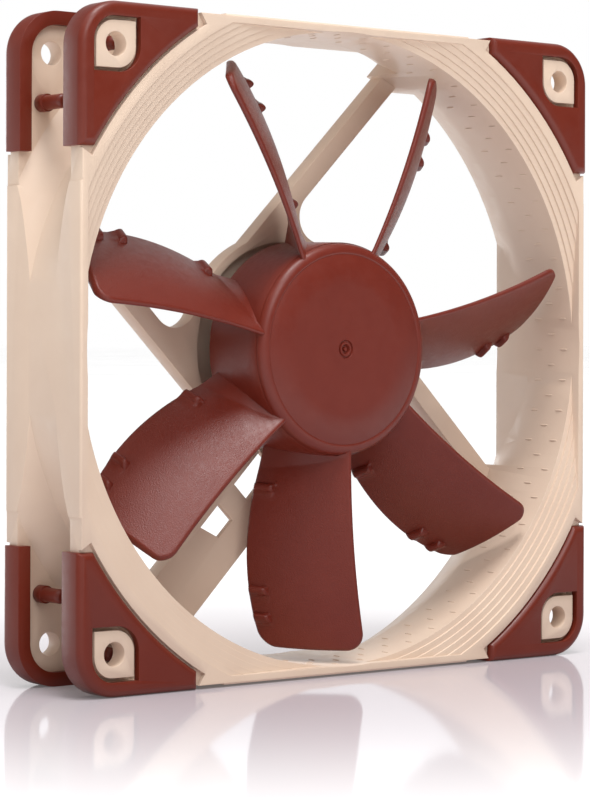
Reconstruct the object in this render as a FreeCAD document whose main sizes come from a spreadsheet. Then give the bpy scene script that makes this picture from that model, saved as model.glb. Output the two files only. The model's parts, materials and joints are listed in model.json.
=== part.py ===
import FreeCAD, Part
import math
import os
import re
import Sketcher

# Square case fan. Its axis is Y and air flows from the front (-Y) to the rear (+Y). X points right
# and Z up, seen from the front. The origin is on the axis, halfway through the depth.
# "Turn" is an angle about the axis, counter-clockwise seen from the front. Sizes are millimetres.

DIMENSIONS = {
    # whole fan, over the corner pads
    "fan_half": 60.0,
    "depth_half": 12.5,
    "screw_place": 52.5,
    "screw_radius": 2.15,
    # frame: flanges and duct
    "side_half": 59.6,
    "side_relief_half": 59.3,
    "side_relief_start": 28.8,
    "face": 12.0,
    "seat_half": 58.0,
    "seat_rounding": 6.0,
    "flange_inside": 8.4,
    "edge_rounding": 0.5,
    "duct_radius": 58.3,
    "waist_radius": 60.7,
    "waist_half": 4.1,
    "shoulder_radius": 64.8,
    "shoulder_depth": 7.0,
    "flange_foot_radius": 66.3,
    "groove_reach": 90.0,
    "inlet_radius": 64.2,
    "inlet_tread": 1.2,
    "inlet_riser": 0.4,
    "lip_half": 58.1,
    "outlet_radius": 62.0,
    "outlet_start": 2.5,
    "outlet_slant": 30.1,
    "outlet_high": 50.7,
    "outlet_inside": 25.0,
    # corner seats for the pads, and the screw bosses in them
    "seat_depth": 1.0,
    "seat_arc": 66.2,
    "seat_tip": 33.1,
    "seat_end": 34.8,
    "boss_half": 4.1,
    "boss_rounding": 3.8,
    "boss_moat": 0.75,
    "boss_moat_depth": 2.6,
    "tail_near": 43.5,
    "tail_far": 54.5,
    "tail_stem_radius": 1.3,
    # struts, motor base and bearing tube
    "strut_front": 8.4,
    "strut_inner": 16.6,
    "strut_outer": 20.3,
    "strut_reach": 57.0,
    "strut_root_rounding": 5.0,
    "base_radius": 21.8,
    "cup_radius": 20.2,
    "floor_front": 10.6,
    "label_radius": 19.0,
    "label_front": 11.7,
    "label_thickness": 0.25,
    "label_gap": 0.1,
    "tube_radius": 5.0,
    "tube_bore": 4.0,
    "tube_front": -6.5,
    # cable channel in the wide strut
    "channel_inner": 8.8,
    "channel_wall": 1.0,
    "channel_floor": 1.2,
    "channel_start": 17.0,
    "channel_end": 54.0,
    "channel_mouth_inner": 11.0,
    "window_side": 14.3,
    "window_one_start": 16.4,
    "window_one_end": 26.1,
    "window_two_start": 31.1,
    "window_two_end": 37.1,
    "window_two_slant": 1.5,
    "notch_left": -33.0,
    "notch_right": -28.0,
    "notch_top": -48.0,
    # corner pads
    "pad_tip": 34.8,
    "pad_arc": 66.5,
    "pad_rounding": 8.0,
    "pad_edge_rounding": 1.4,
    "pad_lip_half": 57.5,
    "pad_lip_rounding": 5.5,
    "pad_lip_thickness": 1.5,
    "tail_end": 1.0,
    "tail_bulge_radius": 1.6,
    "tail_bulge_length": 2.0,
    "tail_tip_rounding": 0.9,
    # impeller
    "hub_front": -10.4,
    "hub_back": 4.8,
    "hub_front_radius": 19.6,
    "hub_back_radius": 20.1,
    "hub_wall": 1.4,
    "hub_rounding": 0.8,
    "hub_bore": 18.5,
    "gate_radius": 1.2,
    "gate_depth": 0.3,
    "blade_tip_radius": 56.0,
    "blade_start": 17.9,
    "blade_step": 10.0,
    "blade_root": 20.0,
    "blade_span": 36.0,
    "lead_across": -3.6,
    "lead_across_slope": -2.4,
    "lead_across_curve": -4.1,
    "lead_across_bend": 0.0,
    "lead_depth": -10.1,
    "lead_depth_slope": -1.5,
    "lead_depth_curve": 0.45,
    "lead_depth_bend": 0.0,
    "trail_across": 5.95,
    "trail_across_slope": 8.6,
    "trail_across_curve": -10.0,
    "trail_across_bend": -1.9,
    "trail_depth": 4.2,
    "trail_depth_slope": 1.5,
    "trail_depth_curve": 1.0,
    "trail_depth_bend": -2.8,
    "blade_camber": 0.6,
    "blade_thickness": 1.3,
    "blade_swell": 0.7,
    "blade_edge": 0.6,
    # rotor
    "yoke_wall": 0.8,
    "yoke_back": 4.0,
    "magnet_bore": 16.0,
    "magnet_front": -4.5,
    "magnet_back": 3.8,
    "shaft_radius": 1.5,
    "shaft_back": 9.3,
    "neck_radius": 1.1,
    "neck_front": 8.2,
    "neck_back": 8.6,
    "clip_radius": 2.3,
    "hub_boss_radius": 4.0,
    "hub_boss_length": 1.3,
    # bearing
    "sleeve_bore": 1.55,
    "sleeve_front": -5.6,
    "sleeve_back": 7.9,
    "ring_bore": 2.2,
    "thrust_front": 9.4,
    # stator
    "core_front": -4.0,
    "core_back": 3.0,
    "core_radius": 15.3,
    "shoe_inner": 13.3,
    "core_hub_radius": 7.5,
    "arm_half": 2.2,
    "slot_half": 1.6,
    "slot_inner": 12.6,
    "insulator_thickness": 1.0,
    "insulator_inset": 0.4,
    "coil_start": 8.2,
    "coil_end": 12.7,
    "coil_thickness": 1.6,
    # circuit board
    "board_radius": 15.4,
    "board_hole": 5.3,
    "board_thickness": 1.2,
    "chip_half": 2.0,
    "chip_place": 11.5,
    "chip_thickness": 1.5,
    "small_part_half": 0.8,
    "small_part_place": 8.8,
    "small_part_thickness": 0.9,
    "solder_half": 0.7,
    "solder_place": 13.6,
    "solder_pitch": 2.2,
    "solder_thickness": 0.3,
}

BLADE_COUNT = 7
BLADE_TURN = 110.0
BLADE_SECTIONS = 5
INLET_STEPS = 5
QUARTER_TURNS = (0.0, 90.0, 180.0, 270.0)
STRUT_TURNS = (45.0, 135.0, 315.0)
CHANNEL_TURN = 225.0
RIGHT_ANGLE = math.pi / 2
SAME_PLACE = 0.01

doc = FreeCAD.newDocument("case_fan")
sheet = doc.addObject("Spreadsheet::Sheet", "Dims")
for row, (alias, value) in enumerate(DIMENSIONS.items(), start=1):
    sheet.set(f"A{row}", alias)
    sheet.set(f"B{row}", str(value))
    sheet.setAlias(f"B{row}", alias)
doc.recompute()

nodes = []


# ---------------------------------------------------------------- sizes and places

def cells(expression):
    """The expression with each of its aliases pointed at the sheet."""
    def pointed(word):
        alias = word.group()
        return "Dims." + alias if alias in DIMENSIONS else alias
    return re.sub(r"[a-z][a-z_]*", pointed, str(expression))


def number(expression):
    """The value that the expression has now."""
    return float(sheet.evalExpression(cells(expression)))


def bind(item, expressions):
    """Drive the item's properties by expressions of the sheet."""
    for name, expression in expressions.items():
        item.setExpression(name, cells(expression))


def turned(turn):
    """The placement that turns a piece about the fan's axis."""
    return FreeCAD.Placement(FreeCAD.Vector(), FreeCAD.Rotation(FreeCAD.Vector(0, -1, 0), turn))


def keep(item, label):
    """Make the item a sub-part, written to a file of that name."""
    item.Label = label
    nodes.append(item)
    return item


# ---------------------------------------------------------------- sketches

def new_body(name, turn=0.0):
    body = doc.addObject("PartDesign::Body", name)
    body.Placement = turned(turn)
    return body


def origin_part(body, role):
    return next(item for item in body.Origin.OriginFeatures if item.Role == role)


def sketch_across(body, name, depth):
    """A sketch square to the axis, X right and Z up, at the given place along Y."""
    sketch = body.newObject("Sketcher::SketchObject", name)
    sketch.AttachmentSupport = [(origin_part(body, "XZ_Plane"), "")]
    sketch.MapMode = "FlatFace"
    bind(sketch, {"AttachmentOffset.Base.z": f"-({depth})"})
    return sketch


def sketch_along(body, name, height="0"):
    """A sketch with X right and the fan's axis up, at the given place along Z."""
    sketch = body.newObject("Sketcher::SketchObject", name)
    sketch.AttachmentSupport = [(origin_part(body, "XY_Plane"), "")]
    sketch.MapMode = "FlatFace"
    bind(sketch, {"AttachmentOffset.Base.z": height})
    return sketch


def constrain(sketch, kind, geometry, expression):
    """A driven dimension: a radius, or a coordinate of a point (geometry, position)."""
    if kind == "Radius":
        rule = Sketcher.Constraint(kind, geometry, number(expression))
    elif number(expression) == 0:
        axis = -2 if kind == "DistanceX" else -1
        sketch.addConstraint(Sketcher.Constraint("PointOnObject", *geometry, axis))
        return
    else:
        rule = Sketcher.Constraint(kind, -1, 1, *geometry, number(expression))
    place = sketch.addConstraint(rule)
    sketch.setExpression(f"Constraints[{place}]", cells(expression))


def place_point(sketch, point, x, y):
    if x is not None:
        constrain(sketch, "DistanceX", point, x)
    if y is not None:
        constrain(sketch, "DistanceY", point, y)


def draw_circle(sketch, x, y, radius):
    centre = FreeCAD.Vector(number(x), number(y), 0)
    ring = sketch.addGeometry(Part.Circle(centre, FreeCAD.Vector(0, 0, 1), number(radius)), False)
    constrain(sketch, "Radius", ring, radius)
    place_point(sketch, (ring, 3), x, y)


def short_arc(start, end, centre):
    """The shorter arc between two points, and whether it runs counter-clockwise from start to end."""
    forward = (start - centre).cross(end - centre).z > 0
    first, last = (start - centre, end - centre) if forward else (end - centre, start - centre)
    first_angle = math.atan2(first.y, first.x)
    last_angle = math.atan2(last.y, last.x)
    if last_angle < first_angle:
        last_angle += 2 * math.pi
    circle = Part.Circle(centre, FreeCAD.Vector(0, 0, 1), first.Length)
    return Part.ArcOfCircle(circle, first_angle, last_angle), forward


def draw_outline(sketch, corners, arcs=None):
    """A closed outline through the corners (x, y).

    arcs gives the radius of an edge that is an arc about the origin, by the number of the corner
    that it starts from. A coordinate of None at its end follows from the arc's radius.
    """
    arcs = arcs or {}
    count = len(corners)
    points = []
    for index, (x, y) in enumerate(corners):
        if x is None or y is None:
            radius = number(arcs.get(index) or arcs[(index - 1) % count])
            known = number(y if x is None else x)
            other = (radius ** 2 - known ** 2) ** 0.5
            place = (other, known) if x is None else (known, other)
            points.append(FreeCAD.Vector(*place, 0))
        else:
            points.append(FreeCAD.Vector(number(x), number(y), 0))
    ends = []
    for index, start in enumerate(points):
        end = points[(index + 1) % count]
        if index in arcs:
            arc, forward = short_arc(start, end, FreeCAD.Vector())
            edge = sketch.addGeometry(arc, False)
            sketch.addConstraint(Sketcher.Constraint("Coincident", edge, 3, -1, 1))
            constrain(sketch, "Radius", edge, arcs[index])
            ends.append((edge, 1, 2) if forward else (edge, 2, 1))
        else:
            edge = sketch.addGeometry(Part.LineSegment(start, end), False)
            ends.append((edge, 1, 2))
    for index, (edge, _, last) in enumerate(ends):
        following, first, _ = ends[(index + 1) % count]
        sketch.addConstraint(Sketcher.Constraint("Coincident", edge, last, following, first))
    for (edge, first, _), (x, y) in zip(ends, corners):
        place_point(sketch, (edge, first), x, y)


def rectangle(x0, x1, z0, z1):
    return [(x0, z0), (x1, z0), (x1, z1), (x0, z1)]


# ---------------------------------------------------------------- body features

def add_pad(body, name, sketch, length):
    """Material from the sketch towards the rear."""
    pad = body.newObject("PartDesign::Pad", name)
    pad.Profile = sketch
    pad.Reversed = True
    bind(pad, {"Length": length})
    return pad


def add_pocket(body, name, sketch, length, to_front=False):
    """A cut from the sketch towards the rear, or towards the front."""
    pocket = body.newObject("PartDesign::Pocket", name)
    pocket.Profile = sketch
    pocket.Reversed = to_front
    bind(pocket, {"Length": length})
    return pocket


def add_turning(body, kind, name, sketch):
    """A Revolution or Groove of the sketch about the fan's axis."""
    feature = body.newObject(f"PartDesign::{kind}", name)
    feature.Profile = sketch
    feature.ReferenceAxis = (sketch, ["V_Axis"])
    feature.Angle = 360.0
    return feature


def add_around(body, name, originals, count):
    """Copies of the features about the fan's axis."""
    pattern = body.newObject("PartDesign::PolarPattern", name)
    pattern.Originals = originals
    pattern.Axis = (origin_part(body, "Y_Axis"), [""])
    pattern.Angle = 360.0
    pattern.Occurrences = count
    body.Tip = pattern
    return pattern


def add_rounding(body, name, base, radius, wanted):
    """A fillet on the edges of the base feature for which wanted(edge) is true."""
    doc.recompute()
    names = [f"Edge{index}" for index, edge in enumerate(base.Shape.Edges, start=1) if wanted(edge)]
    fillet = body.newObject("PartDesign::Fillet", name)
    fillet.Base = (base, names)
    bind(fillet, {"Radius": radius})
    body.Tip = fillet
    return fillet


def lies_at(edge, axis, value):
    """True if the whole edge lies on one plane square to an axis."""
    low = getattr(edge.BoundBox, f"{axis}Min")
    high = getattr(edge.BoundBox, f"{axis}Max")
    return abs(low - value) < SAME_PLACE and abs(high - value) < SAME_PLACE


# ---------------------------------------------------------------- simple solids

def cylinder(name, radius, front, back, x="0", z="0"):
    solid = doc.addObject("Part::Cylinder", name)
    solid.Placement.Rotation = FreeCAD.Rotation(FreeCAD.Vector(1, 0, 0), -90)
    bind(solid, {
        "Radius": radius,
        "Height": f"({back}) - ({front})",
        "Placement.Base.x": x,
        "Placement.Base.y": front,
        "Placement.Base.z": z,
    })
    return solid


def box(name, x0, x1, front, back, z0, z1):
    solid = doc.addObject("Part::Box", name)
    bind(solid, {
        "Length": f"({x1}) - ({x0})",
        "Width": f"({back}) - ({front})",
        "Height": f"({z1}) - ({z0})",
        "Placement.Base.x": x0,
        "Placement.Base.y": front,
        "Placement.Base.z": z0,
    })
    return solid


def prism(name, corners, front, back, turn=0.0):
    """A plate of the given outline between two depths, turned about the fan's axis."""
    body = new_body(name, turn)
    sketch = sketch_across(body, f"{name}_outline", front)
    draw_outline(sketch, corners)
    add_pad(body, f"{name}_pad", sketch, f"({back}) - ({front})")
    return body


def fuse(name, solids):
    union = doc.addObject("Part::MultiFuse", name)
    union.Shapes = solids
    union.Refine = True
    return union


def cut(name, base, tool):
    difference = doc.addObject("Part::Cut", name)
    difference.Base = base
    difference.Tool = tool
    difference.Refine = True
    return difference


def common(name, first, second):
    overlap = doc.addObject("Part::Common", name)
    overlap.Base = first
    overlap.Tool = second
    return overlap


def group(name, solids):
    bundle = doc.addObject("Part::Compound", name)
    bundle.Links = solids
    return bundle


def tube(name, outer, inner, front, back):
    solid = cylinder(f"{name}_solid", outer, front, back)
    return cut(name, solid, cylinder(f"{name}_bore", inner, front, back))


# ---------------------------------------------------------------- frame

def leaf_corners(half):
    """Corners of the square round a screw place."""
    low = f"screw_place - ({half})"
    high = f"screw_place + ({half})"
    return low, high


def draw_leaf(sketch, half, rounding):
    """A square whose corners towards the axis and away from it are round."""
    low, high = leaf_corners(half)
    near = f"{low} + ({rounding})"
    far = f"{high} - ({rounding})"
    points = [(near, low), (high, low), (high, far), (far, high), (low, high), (low, near)]
    places = [FreeCAD.Vector(number(x), number(y), 0) for x, y in points]
    up = FreeCAD.Vector(0, 0, 1)
    far_centre = FreeCAD.Vector(number(far), number(far), 0)
    near_centre = FreeCAD.Vector(number(near), number(near), 0)
    radius = number(rounding)
    edges = [
        Part.LineSegment(places[0], places[1]),
        Part.LineSegment(places[1], places[2]),
        Part.ArcOfCircle(Part.Circle(far_centre, up, radius), 0.0, RIGHT_ANGLE),
        Part.LineSegment(places[3], places[4]),
        Part.LineSegment(places[4], places[5]),
        Part.ArcOfCircle(Part.Circle(near_centre, up, radius), 2 * RIGHT_ANGLE, 3 * RIGHT_ANGLE),
    ]
    first = sketch.GeometryCount
    for edge in edges:
        sketch.addGeometry(edge, False)
    for index in range(len(edges)):
        following = first + (index + 1) % len(edges)
        sketch.addConstraint(Sketcher.Constraint("Coincident", first + index, 2, following, 1))
    for index, (x, y) in enumerate(points):
        place_point(sketch, (first + index, 1), x, y)
    constrain(sketch, "Radius", first + 2, rounding)
    constrain(sketch, "Radius", first + 5, rounding)


def make_duct():
    """Both flanges and the duct wall between them, with the pad seats and the holes."""
    body = new_body("duct")
    plan = sketch_across(body, "duct_plan", "-face")
    side, end, seat = "side_half", "seat_end", "seat_half"
    quarter = [(side, f"-{end}"), (side, end), (seat, end), (seat, seat), (end, seat), (end, side)]
    corners = list(quarter)
    for _ in range(3):
        quarter = [(f"-({y})", x) for x, y in quarter]
        corners += quarter[1:]
    draw_outline(sketch=plan, corners=corners[:-1])
    block = add_pad(body, "duct_block", plan, "2 * face")
    round_corner = number("seat_half")

    def at_seat_corner(edge):
        middle = edge.CenterOfMass
        return (abs(abs(middle.x) - round_corner) < SAME_PLACE
                and abs(abs(middle.z) - round_corner) < SAME_PLACE)

    block = add_rounding(body, "duct_corners", block, "seat_rounding", at_seat_corner)
    face = number("face")
    block = add_rounding(body, "duct_edges", block, "edge_rounding",
                         lambda edge: lies_at(edge, "Y", face) or lies_at(edge, "Y", -face))

    waist = sketch_along(body, "waist_profile")
    half_profile = [
        ("waist_radius", "waist_half"),
        ("shoulder_radius", "shoulder_depth"),
        ("flange_foot_radius", "flange_inside"),
        ("groove_reach", "flange_inside"),
    ]
    mirrored = [(x, f"-{y}") for x, y in reversed(half_profile)]
    draw_outline(waist, half_profile + mirrored)
    add_turning(body, "Groove", "waist", waist)

    hole = sketch_across(body, "duct_hole", "-face")
    draw_circle(hole, "0", "0", "duct_radius")
    add_pocket(body, "duct_bore", hole, "2 * face")

    seats = []
    for side_name, depth, to_front in (("front", "-face", False), ("rear", "face", True)):
        seat_plan = sketch_across(body, f"{side_name}_seat_plan", depth)
        draw_outline(seat_plan, [
            (None, "seat_tip"), ("fan_half", "seat_end"), ("fan_half", "fan_half"),
            ("seat_end", "fan_half"), ("seat_tip", None),
        ], arcs={4: "seat_arc"})
        draw_leaf(seat_plan, "boss_half", "boss_rounding")
        seats.append(add_pocket(body, f"{side_name}_seat", seat_plan, "seat_depth", to_front))
        moat_plan = sketch_across(body, f"{side_name}_moat_plan", depth)
        draw_leaf(moat_plan, "boss_half", "boss_rounding")
        draw_leaf(moat_plan, "boss_half + boss_moat", "boss_rounding + boss_moat")
        seats.append(add_pocket(body, f"{side_name}_moat", moat_plan, "boss_moat_depth", to_front))
    add_around(body, "seats", seats, 4)

    hole_plan = sketch_across(body, "hole_plan", "-face")
    draw_circle(hole_plan, "screw_place", "screw_place", "screw_radius")
    draw_circle(hole_plan, "tail_far", "tail_near", "tail_stem_radius")
    draw_circle(hole_plan, "tail_near", "tail_far", "tail_stem_radius")
    holes = add_pocket(body, "corner_holes", hole_plan, "2 * face")
    add_around(body, "holes", [holes], 4)
    return body


def make_inlet_tool():
    """Stepped mouth: rings cut deeper as they get smaller, kept inside the square lip."""
    rings = []
    for step in range(INLET_STEPS):
        radius = f"inlet_radius - {step} * inlet_tread"
        back = f"-face + {step + 1} * inlet_riser"
        rings.append(cylinder(f"inlet_ring_{step + 1}", radius, "-face - 1", back))
    lip = box("inlet_lip", "-lip_half", "lip_half", "-depth_half", "0", "-lip_half", "lip_half")
    return common("inlet_tool", fuse("inlet_rings", rings), lip)


def make_outlet_tools():
    """Flared outlet in four stretches, each ended by flat steps beside the struts."""
    tools = []
    for turn in QUARTER_TURNS:
        name = f"outlet_{int(turn)}"
        cone = doc.addObject("Part::Cone", f"{name}_cone")
        cone.Placement.Rotation = FreeCAD.Rotation(FreeCAD.Vector(1, 0, 0), -90)
        bind(cone, {
            "Radius1": "duct_radius",
            "Radius2": "outlet_radius",
            "Height": "face - outlet_start",
            "Placement.Base.y": "outlet_start",
        })
        corners = [
            ("outlet_inside", "outlet_slant - outlet_inside"), ("lip_half", "outlet_slant - lip_half"),
            ("lip_half", "outlet_high"), ("outlet_inside", "outlet_high"),
        ]
        stretch = prism(f"{name}_stretch", corners, "0", "depth_half", turn)
        tools.append(common(name, cone, stretch))
    return tools


def make_spider():
    """Motor base disc and the four struts, with round roots between them."""
    pieces = [cylinder("base_disc", "base_radius", "strut_front", "face")]
    bar = rectangle("0", "strut_reach", "strut_inner", "strut_outer")
    for turn in STRUT_TURNS:
        pieces.append(prism(f"strut_{int(turn)}", bar, "strut_front", "face", turn))
    wide_bar = rectangle("0", "strut_reach", "channel_inner", "strut_outer")
    pieces.append(prism("wide_strut", wide_bar, "strut_front", "face", CHANNEL_TURN))
    sharp = fuse("spider_sharp", pieces)
    doc.recompute()
    base_radius = number("base_radius")
    roots = []
    for turn in STRUT_TURNS + (CHANNEL_TURN,):
        inner = number("channel_inner" if turn == CHANNEL_TURN else "strut_inner")
        along = (base_radius ** 2 - inner ** 2) ** 0.5
        roots.append(turned(turn).multVec(FreeCAD.Vector(along, 0, inner)))
    radius = number("strut_root_rounding")
    rounded = []
    for index, edge in enumerate(sharp.Shape.Edges, start=1):
        middle = FreeCAD.Vector(edge.CenterOfMass.x, 0, edge.CenterOfMass.z)
        if any(middle.distanceToPoint(root) < SAME_PLACE for root in roots):
            rounded.append((index, radius, radius))
    spider = doc.addObject("Part::Fillet", "spider")
    spider.Base = sharp
    spider.Edges = rounded
    return spider


def make_cable_path():
    """Hollows of the cable channel: mouth at the base, trough, two windows and the outer notch."""
    inner = "channel_inner + channel_wall"
    outer = "strut_outer - channel_wall"
    trough_front = "strut_front + channel_floor"
    trough = rectangle("base_radius", "channel_end", inner, outer)
    mouth = rectangle("channel_start", "base_radius + 1", "channel_mouth_inner", outer)
    first = rectangle("window_one_start", "window_one_end", inner, "window_side")
    second = [
        ("window_two_start", inner), ("window_two_end", inner),
        ("window_two_end - window_two_slant", "window_side"), ("window_two_start", "window_side"),
    ]
    return [
        prism("cable_trough", trough, trough_front, "face + 1", CHANNEL_TURN),
        prism("cable_mouth", mouth, trough_front, "face + 1", CHANNEL_TURN),
        prism("cable_window_near", first, "strut_front - 1", "face + 1", CHANNEL_TURN),
        prism("cable_window_far", second, "strut_front - 1", "face + 1", CHANNEL_TURN),
        box("cable_notch", "notch_left", "notch_right", trough_front, "face + 1",
            "-side_half - 1", "notch_top"),
    ]


def make_side_reliefs():
    """Thin steps in the sides, from the end of each pad inwards."""
    reliefs = []
    for turn in QUARTER_TURNS:
        for name, start, end in (("left", "-seat_end", "-side_relief_start"),
                                 ("right", "side_relief_start", "seat_end")):
            strip = rectangle(start, end, "side_relief_half", "side_half + 1")
            reliefs.append(prism(f"side_relief_{name}_{int(turn)}", strip, "-face - 1", "face + 1", turn))
    return reliefs


def make_frame():
    mouths = fuse("duct_mouths", [make_inlet_tool()] + make_outlet_tools())
    duct = cut("open_duct", make_duct(), mouths)
    base_cup = cylinder("base_cup", "cup_radius", "strut_front - 1", "floor_front")
    carrier = cut("carrier", make_spider(), base_cup)
    post = cylinder("bearing_post", "tube_radius", "tube_front", "face")
    moulding = fuse("moulding", [duct, carrier, post])
    hollows = make_cable_path() + make_side_reliefs()
    hollows.append(cylinder("bearing_bore", "tube_bore", "tube_front - 1", "floor_front"))
    hollows.append(cylinder("label_recess", "label_radius", "label_front", "face + 1"))
    keep(cut("frame_solid", moulding, fuse("hollows", hollows)), "frame")


# ---------------------------------------------------------------- corner pads

def make_pad(label, placement):
    """Soft cap over one flange corner, with two tails pulled through the flange."""
    body = new_body(f"{label}_body")
    plan = sketch_across(body, f"{label}_plan", "-depth_half")
    draw_outline(plan, [
        (None, "pad_tip"), ("fan_half", "pad_tip"), ("fan_half", "fan_half"),
        ("pad_tip", "fan_half"), ("pad_tip", None),
    ], arcs={4: "pad_arc"})
    block = add_pad(body, f"{label}_block", plan, "depth_half - flange_inside + pad_lip_thickness")
    corner = number("fan_half")
    block = add_rounding(body, f"{label}_corner", block, "pad_rounding",
                         lambda edge: lies_at(edge, "X", corner) and lies_at(edge, "Z", corner))
    front = -number("depth_half")
    add_rounding(body, f"{label}_edges", block, "pad_edge_rounding",
                 lambda edge: lies_at(edge, "Y", front))

    for hollow, half, rounding, start, length in (
            ("slot", "seat_half", "seat_rounding", "-face + seat_depth",
             "face - seat_depth - flange_inside"),
            ("opening", "pad_lip_half", "pad_lip_rounding", "-flange_inside", "pad_lip_thickness + 1")):
        sketch = sketch_across(body, f"{label}_{hollow}_plan", start)
        draw_rounded_quarter(sketch, half, rounding)
        add_pocket(body, f"{label}_{hollow}", sketch, length)

    window = sketch_across(body, f"{label}_window_plan", "-depth_half")
    draw_leaf(window, "boss_half + boss_moat", "boss_rounding + boss_moat")
    add_pocket(body, f"{label}_window", window, "depth_half - face + seat_depth")

    stem = sketch_across(body, f"{label}_stem_plan", "-face")
    bulge = sketch_across(body, f"{label}_bulge_plan", "-flange_inside")
    for x, z in (("tail_far", "tail_near"), ("tail_near", "tail_far")):
        draw_circle(stem, x, z, "tail_stem_radius")
        draw_circle(bulge, x, z, "tail_bulge_radius")
    tails = add_pad(body, f"{label}_stems", stem, "face - tail_end")
    tip = -number("tail_end")
    add_rounding(body, f"{label}_tips", tails, "tail_tip_rounding", lambda edge: lies_at(edge, "Y", tip))
    add_pad(body, f"{label}_bulges", bulge, "tail_bulge_length")
    body.Placement = placement
    keep(body, label)


def draw_rounded_quarter(sketch, half, rounding):
    """A square from the axis to one corner, with that corner round."""
    straight = f"({half}) - ({rounding})"
    points = [("0", "0"), (half, "0"), (half, straight), (straight, half), ("0", half)]
    places = [FreeCAD.Vector(number(x), number(y), 0) for x, y in points]
    centre = FreeCAD.Vector(number(straight), number(straight), 0)
    arc = Part.ArcOfCircle(Part.Circle(centre, FreeCAD.Vector(0, 0, 1), number(rounding)), 0.0, RIGHT_ANGLE)
    edges = [
        Part.LineSegment(places[0], places[1]),
        Part.LineSegment(places[1], places[2]),
        arc,
        Part.LineSegment(places[3], places[4]),
        Part.LineSegment(places[4], places[0]),
    ]
    for edge in edges:
        sketch.addGeometry(edge, False)
    for index in range(len(edges)):
        following = (index + 1) % len(edges)
        sketch.addConstraint(Sketcher.Constraint("Coincident", index, 2, following, 1))
    for index, (x, y) in enumerate(points):
        place_point(sketch, (index, 1), x, y)
    constrain(sketch, "Radius", 2, rounding)


def make_pads():
    corner_names = ("top_right", "top_left", "bottom_left", "bottom_right")
    to_rear = FreeCAD.Placement(FreeCAD.Vector(), FreeCAD.Rotation(FreeCAD.Vector(0, 0, 1), 180))
    for index, corner_name in enumerate(corner_names):
        make_pad(f"front_pad_{corner_name}", turned(QUARTER_TURNS[index]))
        # turned about Z, the top right pad lands on the rear at the top left
        make_pad(f"rear_pad_{corner_name}", turned(QUARTER_TURNS[index] - 90.0).multiply(to_rear))


# ---------------------------------------------------------------- impeller

def edge_curve(name, share):
    """A coordinate of a blade's edge, as a cubic in the share of the way from root to tip."""
    return f"({name} + {name}_slope * {share} + {name}_curve * {share}^2 + {name}_bend * {share}^3)"


def blade_points(height):
    """Four corners of a blade's section at a height above the axis, and its two side radii.

    The section's x is across the blade and its y is along the fan's axis. The leading edge is at
    the front. The sides are arcs that bulge towards the front, which is the suction side.
    """
    share = f"((({height}) - blade_root) / blade_span)"
    lead_x = edge_curve("lead_across", share)
    lead_y = edge_curve("lead_depth", share)
    trail_x = edge_curve("trail_across", share)
    trail_y = edge_curve("trail_depth", share)
    run = f"({trail_x} - {lead_x})"
    rise = f"({trail_y} - {lead_y})"
    chord = f"sqrt({run}^2 + {rise}^2)"
    thickness = f"(blade_thickness + blade_swell * {share})"
    across_x = f"{thickness} / 2 * blade_edge * {rise} / {chord}"
    across_y = f"{thickness} / 2 * blade_edge * {run} / {chord}"
    corners = [
        (f"{lead_x} + {across_x}", f"{lead_y} - {across_y}"),
        (f"{lead_x} - {across_x}", f"{lead_y} + {across_y}"),
        (f"{trail_x} - {across_x}", f"{trail_y} + {across_y}"),
        (f"{trail_x} + {across_x}", f"{trail_y} - {across_y}"),
    ]
    bulge = f"(blade_camber + {thickness} * (1 - blade_edge) / 2)"
    hollow = f"(blade_camber - {thickness} * (1 - blade_edge) / 2)"
    radii = [f"({chord}^2 / 4 + {depth}^2) / (2 * {depth})" for depth in (bulge, hollow)]
    return corners, radii, (bulge, hollow)


def draw_blade_section(sketch, height):
    corners, radii, depths = blade_points(height)
    front_lead, back_lead, back_trail, front_trail = [
        FreeCAD.Vector(number(x), number(y), 0) for x, y in corners]
    chord = front_trail - front_lead
    towards_front = FreeCAD.Vector(chord.y, -chord.x, 0).normalize()
    front_centre = (front_lead + front_trail) / 2 + towards_front * (number(depths[0]) - number(radii[0]))
    back_centre = (back_lead + back_trail) / 2 + towards_front * (number(depths[1]) - number(radii[1]))
    back_side, back_forward = short_arc(back_lead, back_trail, back_centre)
    front_side, front_forward = short_arc(front_trail, front_lead, front_centre)
    edges = [
        (Part.LineSegment(front_lead, back_lead), True),
        (back_side, back_forward),
        (Part.LineSegment(back_trail, front_trail), True),
        (front_side, front_forward),
    ]
    ends = []
    for geometry, forward in edges:
        edge = sketch.addGeometry(geometry, False)
        ends.append((edge, 1, 2) if forward else (edge, 2, 1))
    for index, (edge, _, last) in enumerate(ends):
        following, first, _ = ends[(index + 1) % len(ends)]
        sketch.addConstraint(Sketcher.Constraint("Coincident", edge, last, following, first))
    for (edge, first, _), (x, y) in zip(ends, corners):
        place_point(sketch, (edge, first), x, y)
    constrain(sketch, "Radius", ends[1][0], radii[1])
    constrain(sketch, "Radius", ends[3][0], radii[0])


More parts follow.
